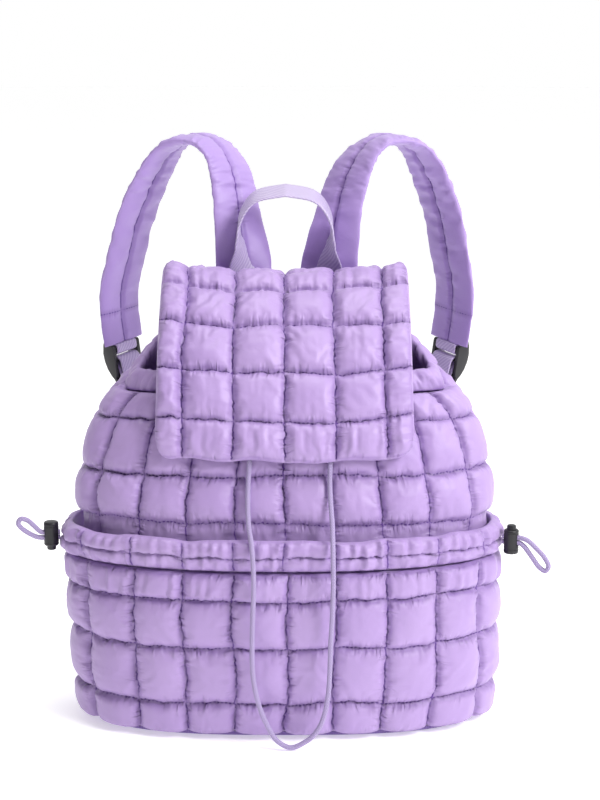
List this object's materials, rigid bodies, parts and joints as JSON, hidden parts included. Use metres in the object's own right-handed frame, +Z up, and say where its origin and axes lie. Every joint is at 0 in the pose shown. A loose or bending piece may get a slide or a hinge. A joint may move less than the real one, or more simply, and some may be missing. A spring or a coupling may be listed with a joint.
{
  "type": "quilted puffer backpack",
  "caption": "Quilted puffer backpack with a cover flap over a drawstring mouth, a gathered front pocket, padded shoulder straps and cord locks.",
  "frame": {"origin": "centre of the bag's flat base, on the surface that it stands on", "axes": "+Z up, -Y to the front with the pocket and the flap's hem, +X to the viewer's right seen from the front"},
  "size_m": [0.4299, 0.2654, 0.4661],
  "materials": {
    "puffer_nylon": "satin nylon over wadding",
    "strap_nylon": "smooth nylon",
    "base_nylon": "plain woven",
    "webbing_tape": "satin woven tape",
    "cord_braid": "braided",
    "black_plastic": "moulded"
  },
  "bodies": {
    "root": {"bag_body": "puffer_nylon", "base_panel": "base_nylon", "mouth_casing": "puffer_nylon", "front_pocket": "puffer_nylon", "pocket_hem": "puffer_nylon", "flap": "puffer_nylon", "top_handle": "webbing_tape", "shoulder_strap_left": "strap_nylon", "strap_loop_left": "webbing_tape", "ladder_lock_left": "black_plastic", "strap_webbing_left": "webbing_tape", "shoulder_strap_right": "strap_nylon", "strap_loop_right": "webbing_tape", "ladder_lock_right": "black_plastic", "strap_webbing_right": "webbing_tape", "drawcord": "cord_braid", "pocket_cord_left": "cord_braid", "cord_lock_left": "black_plastic", "pocket_cord_right": "cord_braid", "cord_lock_right": "black_plastic"},
    "lock_button_left": {"lock_button_left": "black_plastic"},
    "lock_button_right": {"lock_button_right": "black_plastic"}
  },
  "joints": [
    {"name": "press_left", "type": "slide", "parent": "root", "child": "lock_button_left", "axis": [0, 0, 1], "range_m": [0, 0.003], "stiffness_N_per_m": 200, "springref_m": -0.002},
    {"name": "press_right", "type": "slide", "parent": "root", "child": "lock_button_right", "axis": [0, 0, -1], "range_m": [0, 0.003], "stiffness_N_per_m": 200, "springref_m": -0.002}
  ]
}
